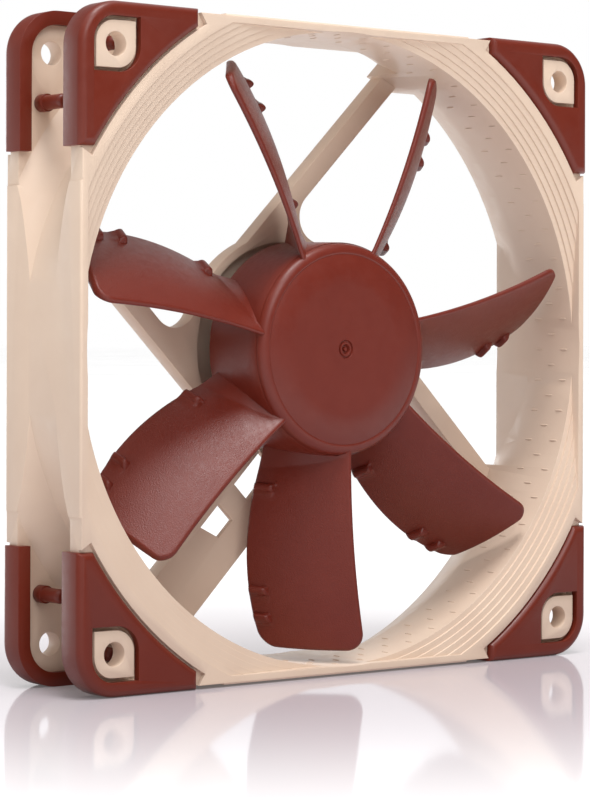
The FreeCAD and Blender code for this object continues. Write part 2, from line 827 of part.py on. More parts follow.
def make_impeller():
    """Hub and seven blades in one moulding."""
    body = new_body("impeller_body", BLADE_TURN - 90.0)
    profile = sketch_along(body, "hub_profile")
    draw_outline(profile, [
        ("0", "hub_front"), ("hub_front_radius", "hub_front"), ("hub_back_radius", "hub_back"),
        ("hub_bore", "hub_back"), ("hub_bore", "hub_front + hub_wall"), ("0", "hub_front + hub_wall"),
    ])
    hub = add_turning(body, "Revolution", "hub", profile)
    front = number("hub_front")
    add_rounding(body, "hub_edge", hub, "hub_rounding", lambda edge: lies_at(edge, "Y", front))

    sections = []
    for index in range(BLADE_SECTIONS):
        height = f"blade_start + {index} * blade_step"
        section = sketch_along(body, f"blade_section_{index + 1}", height)
        draw_blade_section(section, height)
        sections.append(section)
    blade = body.newObject("PartDesign::AdditiveLoft", "blade")
    blade.Profile = sections[0]
    blade.Sections = sections[1:]
    add_around(body, "blades", [blade], BLADE_COUNT)

    tip = sketch_along(body, "tip_profile")
    draw_outline(tip, rectangle("blade_tip_radius", "groove_reach", "-depth_half", "depth_half"))
    add_turning(body, "Groove", "blade_tips", tip)

    bore = sketch_across(body, "hub_bore_plan", "hub_front + hub_wall")
    draw_circle(bore, "0", "0", "hub_bore")
    add_pocket(body, "hub_bore_clear", bore, "depth_half - hub_front")

    gate = sketch_across(body, "gate_plan", "hub_front")
    draw_circle(gate, "0", "0", "gate_radius")
    add_pocket(body, "gate_mark", gate, "gate_depth")
    keep(body, "impeller")


# ---------------------------------------------------------------- rotor and bearing

def make_turned_part(label, outline):
    """A piece turned about the fan's axis from its half section."""
    body = new_body(f"{label}_body")
    profile = sketch_along(body, f"{label}_profile")
    draw_outline(profile, outline)
    add_turning(body, "Revolution", f"{label}_turned", profile)
    keep(body, label)


def make_rotor():
    inside = "hub_front + hub_wall"
    yoke_inside = f"{inside} + yoke_wall"
    make_turned_part("rotor_yoke", [
        ("shaft_radius", inside), ("hub_bore", inside), ("hub_bore", "yoke_back"),
        ("hub_bore - yoke_wall", "yoke_back"), ("hub_bore - yoke_wall", yoke_inside),
        ("shaft_radius", yoke_inside),
    ])
    make_turned_part("shaft", [
        ("0", inside), ("shaft_radius", inside), ("shaft_radius", "neck_front"),
        ("neck_radius", "neck_front"), ("neck_radius", "neck_back"), ("shaft_radius", "neck_back"),
        ("shaft_radius", "shaft_back"), ("0", "shaft_back"),
    ])
    keep(tube("magnet", "hub_bore - yoke_wall", "magnet_bore", "magnet_front", "magnet_back"), "ring_magnet")
    keep(tube("collar", "hub_boss_radius", "shaft_radius", yoke_inside,
              f"{yoke_inside} + hub_boss_length"), "shaft_boss")
    keep(tube("clip", "clip_radius", "neck_radius", "neck_front", "neck_back"), "shaft_clip")


def make_bearing():
    keep(tube("sleeve", "tube_bore", "sleeve_bore", "sleeve_front", "sleeve_back"), "bearing_sleeve")
    keep(tube("ring", "tube_bore", "ring_bore", "tube_front", "sleeve_front"), "retaining_ring")
    keep(cylinder("thrust_disc", "tube_bore", "thrust_front", "floor_front"), "thrust_pad")


# ---------------------------------------------------------------- stator

def make_star(name, front, back, inset):
    """The outline of the lamination stack: a hub, four arms and four pole shoes."""
    shoe = f"core_radius - ({inset})"
    half = f"arm_half - ({inset}) / 2"
    shoes = cut(f"{name}_shoes", cylinder(f"{name}_rim", shoe, front, back),
                cylinder(f"{name}_rim_bore", "shoe_inner", front, back))
    hub = cylinder(f"{name}_hub", "core_hub_radius", front, back)
    flat_arm = box(f"{name}_arm_across", "-shoe_inner - 0.5", "shoe_inner + 0.5", front, back,
                   f"-({half})", half)
    tall_arm = box(f"{name}_arm_up", f"-({half})", half, front, back,
                   "-shoe_inner - 0.5", "shoe_inner + 0.5")
    star = fuse(f"{name}_star", [shoes, hub, flat_arm, tall_arm])
    gap = rectangle("slot_inner", "core_radius + 1", "-slot_half", "slot_half")
    gaps = [prism(f"{name}_gap_{int(turn)}", gap, f"({front}) - 1", f"({back}) + 1", turn + 45.0)
            for turn in QUARTER_TURNS]
    gaps.append(cylinder(f"{name}_bore", "tube_radius", f"({front}) - 1", f"({back}) + 1"))
    return cut(name, star, fuse(f"{name}_gaps", gaps))


def make_stator():
    keep(make_star("core", "core_front", "core_back", "0"), "stator_core")
    keep(make_star("upper", "core_front - insulator_thickness", "core_front", "insulator_inset"),
         "upper_insulator")
    keep(make_star("lower", "core_back", "core_back + insulator_thickness", "insulator_inset"),
         "lower_insulator")
    front = "core_front - insulator_thickness"
    back = "core_back + insulator_thickness"
    thick = "coil_thickness"
    half = f"arm_half + {thick}"
    for index, turn in enumerate(QUARTER_TURNS, start=1):
        winding = prism(f"winding_{index}", rectangle("coil_start", "coil_end", f"-({half})", half),
                        f"{front} - {thick}", f"{back} + {thick}", turn)
        passage = prism(f"winding_{index}_passage",
                        rectangle("coil_start - 1", "coil_end + 1", "-arm_half", "arm_half"),
                        front, back, turn)
        keep(cut(f"coil_{index}_solid", winding, passage), f"coil_{index}")


# ---------------------------------------------------------------- circuit board and label

def make_electronics():
    board_front = "floor_front - board_thickness"
    keep(tube("board", "board_radius", "board_hole", board_front, "floor_front"), "circuit_board")
    keep(box("chip", "chip_place - chip_half", "chip_place + chip_half",
             f"{board_front} - chip_thickness", board_front, "-chip_half", "chip_half"), "driver_chip")
    places = [("small_part_place", "small_part_place"), ("-small_part_place", "small_part_place"),
              ("-small_part_place", "0"), ("0", "small_part_place"), ("0", "-small_part_place")]
    small = [box(f"component_{index}", f"{x} - small_part_half", f"{x} + small_part_half",
                 f"{board_front} - small_part_thickness", board_front,
                 f"{z} - small_part_half", f"{z} + small_part_half")
             for index, (x, z) in enumerate(places, start=1)]
    keep(group("components", small), "board_components")
    pads = []
    for index in range(4):
        along = f"({index} - 1.5) * solder_pitch"
        pads.append(prism(f"solder_{index + 1}",
                          rectangle("solder_place - solder_half", "solder_place + solder_half",
                                    f"{along} - solder_half", f"{along} + solder_half"),
                          f"{board_front} - solder_thickness", board_front, CHANNEL_TURN + 30.0))
    keep(group("solder", pads), "wire_solder_pads")
    keep(cylinder("label_disc", "label_radius - label_gap", "label_front",
                  "label_front + label_thickness"), "rear_label")


make_frame()
make_pads()
make_impeller()
make_rotor()
make_bearing()
make_stator()
make_electronics()
doc.recompute()

failed = [item.Name for item in doc.Objects if "Invalid" in item.State or "Error" in item.State]
for node in nodes:
    if node.Shape.isNull() or not node.Shape.isValid() or not node.Shape.Solids:
        failed.append(node.Label)
if failed:
    raise RuntimeError(f"these did not build: {failed}")

os.makedirs("parts", exist_ok=True)
for node in nodes:
    node.Shape.exportStep(f"parts/{node.Label}.step")
    size = node.Shape.BoundBox
    print(f"{node.Label:26s} solids {len(node.Shape.Solids)}  volume {node.Shape.Volume:9.1f}"
          f"  x {size.XMin:7.2f} {size.XMax:6.2f}  y {size.YMin:7.2f} {size.YMax:6.2f}"
          f"  z {size.ZMin:7.2f} {size.ZMax:6.2f}")
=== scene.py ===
import json
import math

import bmesh
import bpy
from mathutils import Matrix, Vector


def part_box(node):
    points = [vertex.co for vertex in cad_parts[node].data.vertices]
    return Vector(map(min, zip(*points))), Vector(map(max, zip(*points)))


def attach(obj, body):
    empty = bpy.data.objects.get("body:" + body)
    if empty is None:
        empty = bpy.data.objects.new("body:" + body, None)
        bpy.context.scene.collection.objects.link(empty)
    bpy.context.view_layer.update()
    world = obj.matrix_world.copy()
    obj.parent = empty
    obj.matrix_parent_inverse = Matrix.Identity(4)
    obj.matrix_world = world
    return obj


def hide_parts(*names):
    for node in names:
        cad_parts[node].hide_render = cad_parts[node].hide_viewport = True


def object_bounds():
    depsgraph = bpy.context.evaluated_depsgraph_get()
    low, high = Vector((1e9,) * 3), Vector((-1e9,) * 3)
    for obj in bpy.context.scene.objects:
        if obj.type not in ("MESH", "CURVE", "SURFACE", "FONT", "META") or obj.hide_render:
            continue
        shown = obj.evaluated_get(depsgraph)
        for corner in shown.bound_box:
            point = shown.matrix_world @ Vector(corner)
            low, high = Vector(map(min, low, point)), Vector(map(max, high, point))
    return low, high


# Case fan. Everything is in metres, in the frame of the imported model: the fan's axis is Y, the front
# (intake) side faces -Y, Z is up. "Turn" is an angle about the axis, counter-clockwise from the front.

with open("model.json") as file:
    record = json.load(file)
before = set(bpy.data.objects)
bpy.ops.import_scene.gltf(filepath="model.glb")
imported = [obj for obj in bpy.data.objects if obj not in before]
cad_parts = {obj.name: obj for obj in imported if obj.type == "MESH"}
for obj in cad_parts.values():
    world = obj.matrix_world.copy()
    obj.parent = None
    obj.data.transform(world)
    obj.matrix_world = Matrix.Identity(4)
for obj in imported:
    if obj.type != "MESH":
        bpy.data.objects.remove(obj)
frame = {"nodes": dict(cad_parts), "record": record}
cad_low, cad_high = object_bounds()

MM = 0.001

# ---------------------------------------------------------------- sizes

# impeller
BLADE_COUNT = 7
BLADE_TURN = math.radians(110)
BLADE_ROOT = 20.0 * MM
BLADE_TIP = 56.0 * MM
BLADE_START = 17.9 * MM
# terms of the cubics that the blade's edges follow, in millimetres, by the share of the way
# from the root to the tip
LEAD_ACROSS = (-3.6, -2.4, -4.1, 0.0)
LEAD_DEPTH = (-10.1, -1.5, 0.45, 0.0)
TRAIL_ACROSS = (5.95, 8.6, -10.0, -1.9)
TRAIL_DEPTH = (4.2, 1.5, 1.0, -2.8)
BLADE_CAMBER = 0.6 * MM
BLADE_THICKNESS = 1.3 * MM
BLADE_SWELL = 0.7 * MM
# thickness of the blade's edges, as a share of its thickness in the middle
BLADE_EDGE = 0.6
LEAD_CORNER = 3.6 * MM
TRAIL_CORNER = 2.8 * MM
ROOT_FLARE = 1.5 * MM
ROOT_FLARE_REACH = 4.4 * MM
KNOB_HEIGHTS = (26.4 * MM, 45.6 * MM, 50.6 * MM)
KNOB_LENGTHS = (4.2 * MM, 3.8 * MM, 3.4 * MM)
KNOB_STEEP_SIDE = 0.7 * MM
KNOB_GENTLE_SIDE = 1.1 * MM
KNOB_NOSE = 0.9 * MM
KNOB_RISE = 1.15 * MM
# stations of the blade's mesh
BLADE_CHORD = 15 * MM
KNOB_BAND = 6 * MM
ROOT_BAND = 7 * MM
FINE_EDGE = 0.5 * MM
PLAIN_COLUMNS = 20
KNOB_COLUMNS = 22
SPAN_ROWS = 34
ROOT_ROWS = 21
CORNER_ROWS = 16
KNOB_STEEP_ROWS = 9
KNOB_GENTLE_ROWS = 10
EDGE_STEPS = (0.0, 0.03, 0.12, 0.3, 0.6, 1.0)
# stations nearer to each other than these shares are left out
CHORD_GAP = 0.0003
REACH_GAP = 0.00025
# points nearer than these are joined
WELD_GAP = 0.002 * MM
SLIVER_GAP = 0.001 * MM
HUB_FRONT_RADIUS = 19.6 * MM
HUB_BACK_RADIUS = 20.1 * MM
HUB_BORE = 18.5 * MM
HUB_WALL = 1.4 * MM
HUB_OVERHANG = 0.8 * MM
HUB_ROUNDING = 1.7 * MM
HUB_BACK_ROUNDING = 0.3 * MM
HUB_BACK_INSET = 0.2 * MM
HUB_STEPS = 192
HUB_FRONT_POINTS = 9
HUB_BACK_POINTS = 5
# degrees: edges sharper than this stay sharp in the shading
IMPELLER_SHARP = 38
DASH_SHARP = 60
# the fine ridge behind the front rounding, where the side steps out
HUB_LIP = 1.5 * MM
HUB_STEP_DEPTH = 1.75 * MM
HUB_STEP = 0.12 * MM
# the gate mark: a dot a little below the face, in two ring grooves, and the fine line near the rim;
# a groove is the radii of its start, of its bottom's two ends and of its end, and its depth
GATE_DOT_SINK = 0.05 * MM
GATE_GROOVES = ((0.3, 0.45, 0.75, 0.95, 0.5), (1.25, 1.35, 1.6, 1.75, 0.3))
RIM_GROOVE = (17.42, 17.55, 17.65, 17.78, 0.1)
# more rings of the mesh, on the flat face and down the side
FACE_RINGS = (6.0 * MM, 12.0 * MM)
SIDE_RINGS = (4.0 * MM, 7.0 * MM, 10.0 * MM, 13.0 * MM)

# dashes on the duct's wall
DUCT_RADIUS = 58.3 * MM
DASH_ROWS = (-7.5 * MM, -4.0 * MM, -0.5 * MM)
DASH_COUNT = 60
DASH_LENGTH = 2.2 * MM
DASH_WIDTH = 0.4 * MM
DASH_RISE = 0.18 * MM
DASH_ROOT = 0.3 * MM
DASH_BLUNTNESS = 2.5
DASH_TAPER_END = 0.02
DASH_RINGS = 9
DASH_ARCH_POINTS = 7

# rounding of the moulded edges
FRAME_ROUNDING = 0.22 * MM
PAD_ROUNDING = 0.3 * MM
ROUNDING_SEGMENTS = 2
# angles between faces, in degrees: below the first they count as one flat face, above the
# second their edge is rounded
FLAT_ANGLE = 0.6
SHARP_ANGLE = 35


# ---------------------------------------------------------------- small helpers

def linear(red, green, blue):
    """A colour given as it looks on a screen, 0 to 255, as linear light."""
    def channel(value):
        value /= 255
        return value / 12.92 if value <= 0.04045 else ((value + 0.055) / 1.055) ** 2.4
    return channel(red), channel(green), channel(blue), 1.0


def polynomial(terms, share):
    """Value of a polynomial whose terms are in millimetres, in metres."""
    return sum(term * share ** power for power, term in enumerate(terms)) * MM


def spread(first, last, count):
    """Evenly spaced values, both ends included."""
    return [first + (last - first) * index / (count - 1) for index in range(count)]


def merged(values, gap):
    """The values in order, without those nearer than the gap to the one before."""
    kept = []
    for value in sorted(values):
        if not kept or value - kept[-1] > gap:
            kept.append(value)
    return kept


def link(name, mesh):
    piece = bpy.data.objects.new(name, mesh)
    bpy.context.collection.objects.link(piece)
    return piece


def mesh_object(name, corners, faces):
    mesh = bpy.data.meshes.new(name)
    mesh.from_pydata(corners, [], faces)
    return link(name, mesh)


def apply_modifiers(piece):
    """Freeze what the modifiers make into the piece's own mesh."""
    shaped = bpy.data.meshes.new_from_object(
        piece.evaluated_get(bpy.context.evaluated_depsgraph_get()))
    piece.modifiers.clear()
    piece.data = shaped


def face_outward(mesh):
    """Turn every face of a closed skin outward."""
    shape = bmesh.new()
    shape.from_mesh(mesh)
    bmesh.ops.recalc_face_normals(shape, faces=shape.faces)
    shape.to_mesh(mesh)
    shape.free()


def smooth_by_angle(piece, degrees):
    """Smooth shading that breaks at edges sharper than the angle."""
    piece.data.shade_smooth()
    piece.data.set_sharp_from_angle(angle=math.radians(degrees))


# ---------------------------------------------------------------- materials

# nearly all of a noise's values lie between these two
NOISE_LOW = 0.3
NOISE_HIGH = 0.7
# the impeller's grain is faint on the hub, and full from a little way out on the blades
HUB_GRAIN = 0.12
GRAIN_START = HUB_BACK_RADIUS + 0.5 * MM
GRAIN_FULL = HUB_BACK_RADIUS + 8 * MM


def new_material(name, colour, roughness, **sockets):
    """A principled material; further sockets are set by their names."""
    material = bpy.data.materials.new(name)
    material.use_nodes = True
    shader = material.node_tree.nodes["Principled BSDF"]
    shader.inputs["Base Color"].default_value = colour
    shader.inputs["Roughness"].default_value = roughness
    for socket, value in sockets.items():
        shader.inputs[socket.replace("_", " ")].default_value = value
    return material


def noise_node(material, scale_mm, detail=3.0):
    """Noise with features of about the given size, fixed to the object."""
    tree = material.node_tree
    place = tree.nodes.new("ShaderNodeTexCoord")
    noise = tree.nodes.new("ShaderNodeTexNoise")
    noise.inputs["Scale"].default_value = 1 / (scale_mm * MM)
    noise.inputs["Detail"].default_value = detail
    noise.inputs["Roughness"].default_value = 0.5
    tree.links.new(place.outputs["Object"], noise.inputs["Vector"])
    return noise


def vary_colour(material, noise, low, high):
    """The base colour drifts between two shades with the noise."""
    tree = material.node_tree
    ramp = tree.nodes.new("ShaderNodeValToRGB")
    ramp.color_ramp.elements[0].position = NOISE_LOW
    ramp.color_ramp.elements[0].color = low
    ramp.color_ramp.elements[1].position = NOISE_HIGH
    ramp.color_ramp.elements[1].color = high
    tree.links.new(noise.outputs["Fac"], ramp.inputs["Fac"])
    tree.links.new(ramp.outputs["Color"], tree.nodes["Principled BSDF"].inputs["Base Color"])


def vary_roughness(material, noise, low, high):
    """The roughness drifts between two values with the noise."""
    tree = material.node_tree
    between = tree.nodes.new("ShaderNodeMapRange")
    between.inputs["From Min"].default_value = NOISE_LOW
    between.inputs["From Max"].default_value = NOISE_HIGH
    between.inputs["To Min"].default_value = low
    between.inputs["To Max"].default_value = high
    tree.links.new(noise.outputs["Fac"], between.inputs["Value"])
    tree.links.new(between.outputs["Result"], tree.nodes["Principled BSDF"].inputs["Roughness"])


def blade_share(material):
    """Low on the smooth hub and 1 out on the grained blades, by the distance from the axis."""
    tree = material.node_tree
    place = tree.nodes.new("ShaderNodeTexCoord")
    flat = tree.nodes.new("ShaderNodeVectorMath")
    flat.operation = "MULTIPLY"
    flat.inputs[1].default_value = (1.0, 0.0, 1.0)
    radius = tree.nodes.new("ShaderNodeVectorMath")
    radius.operation = "LENGTH"
    share = tree.nodes.new("ShaderNodeMapRange")
    share.inputs["From Min"].default_value = GRAIN_START
    share.inputs["From Max"].default_value = GRAIN_FULL
    share.inputs["To Min"].default_value = HUB_GRAIN
    tree.links.new(place.outputs["Object"], flat.inputs[0])
    tree.links.new(flat.outputs["Vector"], radius.inputs[0])
    tree.links.new(radius.outputs["Value"], share.inputs["Value"])
    return share.outputs["Result"]


def add_bump(material, noise, height_mm, strength, share=None):
    """Relief of the given height, from the noise, scaled by the share where there is one."""
    tree = material.node_tree
    bump = tree.nodes.new("ShaderNodeBump")
    bump.inputs["Distance"].default_value = height_mm * MM
    bump.inputs["Strength"].default_value = strength
    height = noise.outputs["Fac"]
    if share is not None:
        scaled = tree.nodes.new("ShaderNodeMath")
        scaled.operation = "MULTIPLY"
        tree.links.new(height, scaled.inputs[0])
        tree.links.new(share, scaled.inputs[1])
        height = scaled.outputs["Value"]
    tree.links.new(height, bump.inputs["Height"])
    tree.links.new(bump.outputs["Normal"], tree.nodes["Principled BSDF"].inputs["Normal"])


def fade_from_centre(material, near, far, start_mm, end_mm):
    """The base colour goes from one to the other with the distance from the object's origin."""
    tree = material.node_tree
    place = tree.nodes.new("ShaderNodeTexCoord")
    distance = tree.nodes.new("ShaderNodeVectorMath")
    distance.operation = "LENGTH"
    share = tree.nodes.new("ShaderNodeMapRange")
    share.interpolation_type = "SMOOTHSTEP"
    share.inputs["From Min"].default_value = start_mm * MM
    share.inputs["From Max"].default_value = end_mm * MM
    ramp = tree.nodes.new("ShaderNodeValToRGB")
    ramp.color_ramp.elements[0].color = near
    ramp.color_ramp.elements[1].color = far
    tree.links.new(place.outputs["Object"], distance.inputs[0])
    tree.links.new(distance.outputs["Value"], share.inputs["Value"])
    tree.links.new(share.outputs["Result"], ramp.inputs["Fac"])
    tree.links.new(ramp.outputs["Color"], tree.nodes["Principled BSDF"].inputs["Base Color"])


def frame_plastic():
    material = new_material("frame plastic", linear(222, 197, 176), 0.36, IOR=1.5)
    vary_colour(material, noise_node(material, 9.0), linear(220, 195, 174), linear(224, 200, 179))
    vary_roughness(material, noise_node(material, 2.0), 0.34, 0.44)
    add_bump(material, noise_node(material, 0.35), 0.012, 0.3)
    return material


def pad_rubber():
    material = new_material("pad rubber", linear(108, 37, 22), 0.36, IOR=1.45)
    vary_colour(material, noise_node(material, 6.0), linear(106, 35, 20), linear(110, 39, 24))
    vary_roughness(material, noise_node(material, 1.5), 0.32, 0.42)
    add_bump(material, noise_node(material, 0.5), 0.02, 0.2)
    return material


def impeller_plastic():
    material = new_material("impeller plastic", linear(110, 37, 24), 0.38, IOR=1.46)
    vary_colour(material, noise_node(material, 5.0), linear(108, 35, 22), linear(112, 39, 26))
    vary_roughness(material, noise_node(material, 1.0), 0.34, 0.44)
    add_bump(material, noise_node(material, 0.24, 2.0), 0.075, 1.0, blade_share(material))
    return material


def plain_part(name, colour, roughness, metallic, grain_mm):
    """Material of a part inside the motor: one colour with a light grain."""
    material = new_material(name, colour, roughness, Metallic=metallic)
    vary_roughness(material, noise_node(material, grain_mm), roughness - 0.06, roughness + 0.06)
    add_bump(material, noise_node(material, grain_mm), 0.02, 0.3)
    return material


MATERIALS = {
    "frame_plastic": frame_plastic(),
    "pad_rubber": pad_rubber(),
    "impeller_plastic": impeller_plastic(),
    "yoke_steel": plain_part("yoke steel", linear(176, 177, 180), 0.34, 1.0, 0.8),
    "magnet_ferrite": plain_part("magnet ferrite", linear(52, 52, 55), 0.6, 0.0, 0.4),
    "shaft_steel": plain_part("shaft steel", linear(206, 207, 210), 0.22, 1.0, 0.6),
    "boss_brass": plain_part("brass", linear(196, 160, 92), 0.3, 1.0, 0.6),
    "insulator_plastic": plain_part("insulator plastic", linear(66, 62, 60), 0.5, 0.0, 0.5),
    "lamination_steel": plain_part("lamination steel", linear(140, 140, 143), 0.4, 1.0, 0.3),
    "coil_copper": plain_part("coil copper", linear(186, 104, 60), 0.3, 1.0, 0.25),
    # the board's green is made nearly black: partly the board's own colour, partly painted shade for
    # the ring seen round the back of the hub
    "board_green": plain_part("board green", linear(22, 40, 26), 0.35, 0.0, 0.9),
    "chip_black": plain_part("chip black", linear(34, 34, 36), 0.5, 0.0, 0.3),
    "component_tan": plain_part("component tan", linear(150, 126, 92), 0.45, 0.0, 0.3),
    "solder_tin": plain_part("solder", linear(198, 198, 202), 0.3, 1.0, 0.3),
    "label_silver": plain_part("label", linear(205, 190, 172), 0.4, 0.0, 1.2),
}

SLOT_OF = {part["node"]: part["material_slot"] for part in frame["record"]["subparts"]}


def paint_cad_nodes():
    """Give every CAD node the material of its slot."""
    for node, piece in frame["nodes"].items():
        piece.data.materials.clear()
        piece.data.materials.append(MATERIALS[SLOT_OF[node]])


def finish_piece(piece, body, slot):
    """Give a new piece its material and the body that it moves with."""
    piece.data.materials.clear()
    piece.data.materials.append(MATERIALS[slot])
    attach(piece, body)


paint_cad_nodes()


# ---------------------------------------------------------------- impeller

def quarter_round(distance, radius):
    """0 at an edge, 1 at the radius from it and beyond, along a quarter circle."""
    gap = 1 - min(1.0, max(0.0, distance) / radius)
    return math.sqrt(1 - gap * gap)


def blade_edges(height):
    """Across and depth of the leading and the trailing edge at a height above the axis."""
    share = (height - BLADE_ROOT) / (BLADE_TIP - BLADE_ROOT)
    lead = Vector((polynomial(LEAD_ACROSS, share), polynomial(LEAD_DEPTH, share)))
    trail = Vector((polynomial(TRAIL_ACROSS, share), polynomial(TRAIL_DEPTH, share)))
    return lead, trail


def corner_inset(left_to_tip, radius):
    """How far an edge draws in near the tip, to round the blade's corner."""
    gap = radius - min(radius, left_to_tip)
    return radius - math.sqrt(radius * radius - gap * gap)


def knob_crest(height, centre):
    """Share of a knob's full height: a steep side towards the hub, an easier one towards the tip."""
    gap = height - centre
    side = KNOB_STEEP_SIDE if gap < 0 else KNOB_GENTLE_SIDE
    return quarter_round(side - abs(gap), side)


def knob_rise(height, from_trail):
    """Height of the knobs above the blade's front face, round at their inner ends."""
    return KNOB_RISE * max(knob_crest(height, centre) * quarter_round(length - from_trail, KNOB_NOSE)
                           for centre, length in zip(KNOB_HEIGHTS, KNOB_LENGTHS))


def blade_point(chord_place, reach, front):
    """A point of a blade's surface, as (across, depth, height above the axis).

    chord_place runs from 0 at the leading edge to 1 at the trailing edge, and reach from 0 at
    the root to 1 at the tip. The second pass uses the height that the first one found.
    """
    height = BLADE_START + (BLADE_TIP - BLADE_START) * reach
    for _ in range(2):
        lead, trail = blade_edges(height)
        tip_gap = (BLADE_TIP - BLADE_START) * (1 - reach)
        chord = trail - lead
        length = chord.length
        along = chord / length
        start = corner_inset(tip_gap, LEAD_CORNER)
        end = length - corner_inset(tip_gap, TRAIL_CORNER)
        place = start + (end - start) * chord_place
        spot = lead + along * place
        height = BLADE_START + (math.sqrt(BLADE_TIP ** 2 - spot.x ** 2) - BLADE_START) * reach
    share = (height - BLADE_ROOT) / (BLADE_TIP - BLADE_ROOT)
    thickness = BLADE_THICKNESS + BLADE_SWELL * share
    whole = place / length
    hump = 4 * whole * (1 - whole)
    half = thickness / 2 * (BLADE_EDGE + (1 - BLADE_EDGE) * hump)
    edge_radius = thickness / 2 * BLADE_EDGE
    rounding = (quarter_round(place - start, edge_radius) * quarter_round(end - place, edge_radius)
                * quarter_round(tip_gap, edge_radius))
    above_hub = math.hypot(spot.x, height) - HUB_FRONT_RADIUS
    flare = ROOT_FLARE * max(0.0, min(1.0, whole) - max(0.0, above_hub) / ROOT_FLARE_REACH)
    towards_front = Vector((along.y, -along.x))
    offset = BLADE_CAMBER * hump
    if front:
        knob = knob_rise(height, length - place)
        offset += (half + flare + knob) * rounding
    else:
        offset -= (half + flare) * rounding
    spot += towards_front * offset
    return spot.x, spot.y, height


def edge_steps(radius, length):
    """Shares of a length that follow a small quarter round at its start."""
    return [radius * step / length for step in EDGE_STEPS]


def blade_stations():
    """Chord places and reaches, close together at the edges, the corners and the knobs."""
    fine = edge_steps(FINE_EDGE, BLADE_CHORD)
    knob_place = 1 - KNOB_BAND / BLADE_CHORD
    places = fine + [1 - step for step in fine]
    places += spread(fine[-1], knob_place, PLAIN_COLUMNS)
    places += spread(knob_place, 1 - fine[-1], KNOB_COLUMNS)
    span = BLADE_TIP - BLADE_START
    reaches = [1 - step for step in edge_steps(FINE_EDGE, span)]
    reaches += [1 - LEAD_CORNER / span * (1 - math.cos(angle))
                for angle in spread(0.0, math.pi / 2, CORNER_ROWS)]
    reaches += spread(0.0, 1.0, SPAN_ROWS)
    reaches += spread(0.0, ROOT_BAND / span, ROOT_ROWS)
    for knob in KNOB_HEIGHTS:
        centre = (knob - BLADE_START) / span
        reaches += spread(centre - KNOB_STEEP_SIDE / span, centre, KNOB_STEEP_ROWS)
        reaches += spread(centre, centre + KNOB_GENTLE_SIDE / span, KNOB_GENTLE_ROWS)
    return merged(places, CHORD_GAP), merged(reaches, REACH_GAP)


def blade_faces(columns, rows):
    """Faces of one blade: the front skin's grid, the back skin's, and the cap at the root."""
    size = columns * rows
    faces = []
    for row in range(rows - 1):
        for column in range(columns - 1):
            front = row * columns + column
            back = size + front
            faces.append((front, front + 1, front + 1 + columns, front + columns))
            faces.append((back, back + columns, back + 1 + columns, back + 1))
    faces.append(tuple(size + column for column in range(columns)) + tuple(reversed(range(columns))))
    return faces


def make_blades():
    """Seven blades in one mesh, each a closed skin that starts inside the hub's wall."""
    places, reaches = blade_stations()
    skins = [blade_point(place, reach, front)
             for front in (True, False) for reach in reaches for place in places]
    faces = blade_faces(len(places), len(reaches))
    corners = []
    all_faces = []
    for blade in range(BLADE_COUNT):
        turn = BLADE_TURN + 2 * math.pi * blade / BLADE_COUNT
        outward = Vector((math.cos(turn), 0, math.sin(turn)))
        across = Vector((math.sin(turn), 0, -math.cos(turn)))
        start = len(corners)
        for sideways, depth, height in skins:
            corners.append(outward * height + across * sideways + Vector((0, depth, 0)))
        all_faces += [tuple(start + index for index in face) for face in faces]
    blades = mesh_object("blades", corners, all_faces)
    shape = bmesh.new()
    shape.from_mesh(blades.data)
    bmesh.ops.remove_doubles(shape, verts=shape.verts, dist=WELD_GAP)
    bmesh.ops.dissolve_degenerate(shape, dist=SLIVER_GAP, edges=shape.edges)
    bmesh.ops.recalc_face_normals(shape, faces=shape.faces)
    shape.to_mesh(blades.data)
    shape.free()
    return blades


def turned_mesh(name, profile, steps):
    """A closed skin of revolution about the fan's axis, from a closed list of (radius, depth)."""
    corners = []
    rings = []
    for radius, depth in profile:
        if radius == 0:
            rings.append([len(corners)] * steps)
            corners.append((0, depth, 0))
            continue
        rings.append(list(range(len(corners), len(corners) + steps)))
        for step in range(steps):
            turn = 2 * math.pi * step / steps
            corners.append((radius * math.cos(turn), depth, radius * math.sin(turn)))
    faces = []
    for ring, following in zip(rings, rings[1:]):
        for step in range(steps):
            after = (step + 1) % steps
            face = [ring[step], ring[after], following[after], following[step]]
            face = [corner for index, corner in enumerate(face) if corner not in face[:index]]
            if len(face) > 2:
                faces.append(face)
    piece = mesh_object(name, corners, faces)
    face_outward(piece.data)
    return piece


def arc(centre, radius, start, end, count):
    """Points of an arc in the (radius, depth) plane, with angles in degrees."""
    return [(centre[0] + radius * math.cos(math.radians(angle)),
             centre[1] + radius * math.sin(math.radians(angle)))
            for angle in spread(start, end, count)]


def ring_groove(face, groove):
    """Profile points of a groove in the hub's face, from its start to its end."""
    start, bottom_start, bottom_end, end, depth = [size * MM for size in groove]
    return [(start, face), (bottom_start, face + depth), (bottom_end, face + depth), (end, face)]


